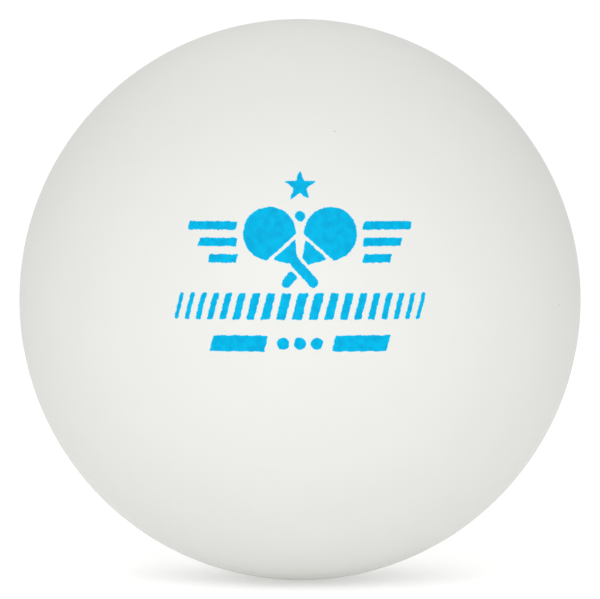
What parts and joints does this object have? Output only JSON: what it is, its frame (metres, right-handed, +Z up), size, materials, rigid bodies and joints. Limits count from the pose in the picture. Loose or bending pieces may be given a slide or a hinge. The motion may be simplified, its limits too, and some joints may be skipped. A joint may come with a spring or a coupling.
{
  "type": "table tennis ball",
  "caption": "White hollow plastic ball made of two cemented half shells, with a plain star, crossed bats and bars printed in blue.",
  "frame": {"origin": "the centre of the ball", "axes": "+Z up; +Y along the axis of the two half shells, from the printed front shell to the plain rear shell, so the print faces -Y and the seam lies in the plane y = 0"},
  "size_m": [0.0402, 0.0404, 0.0402],
  "materials": {
    "shell_plastic": "tumbled matt white ABS, slightly translucent",
    "cement": "dried solvent cement, faintly yellow",
    "print_ink": "pad-printed sky-blue ink, satin"
  },
  "bodies": {
    "root": {"front_half_shell": "shell_plastic", "rear_half_shell": "shell_plastic", "seam_cement": "cement", "print_star": "print_ink", "print_left_bat": "print_ink", "print_right_bat": "print_ink", "print_bat_ball": "print_ink", "print_left_bars": "print_ink", "print_right_bars": "print_ink", "print_band": "print_ink", "print_foot_line": "print_ink"}
  },
  "joints": []
}
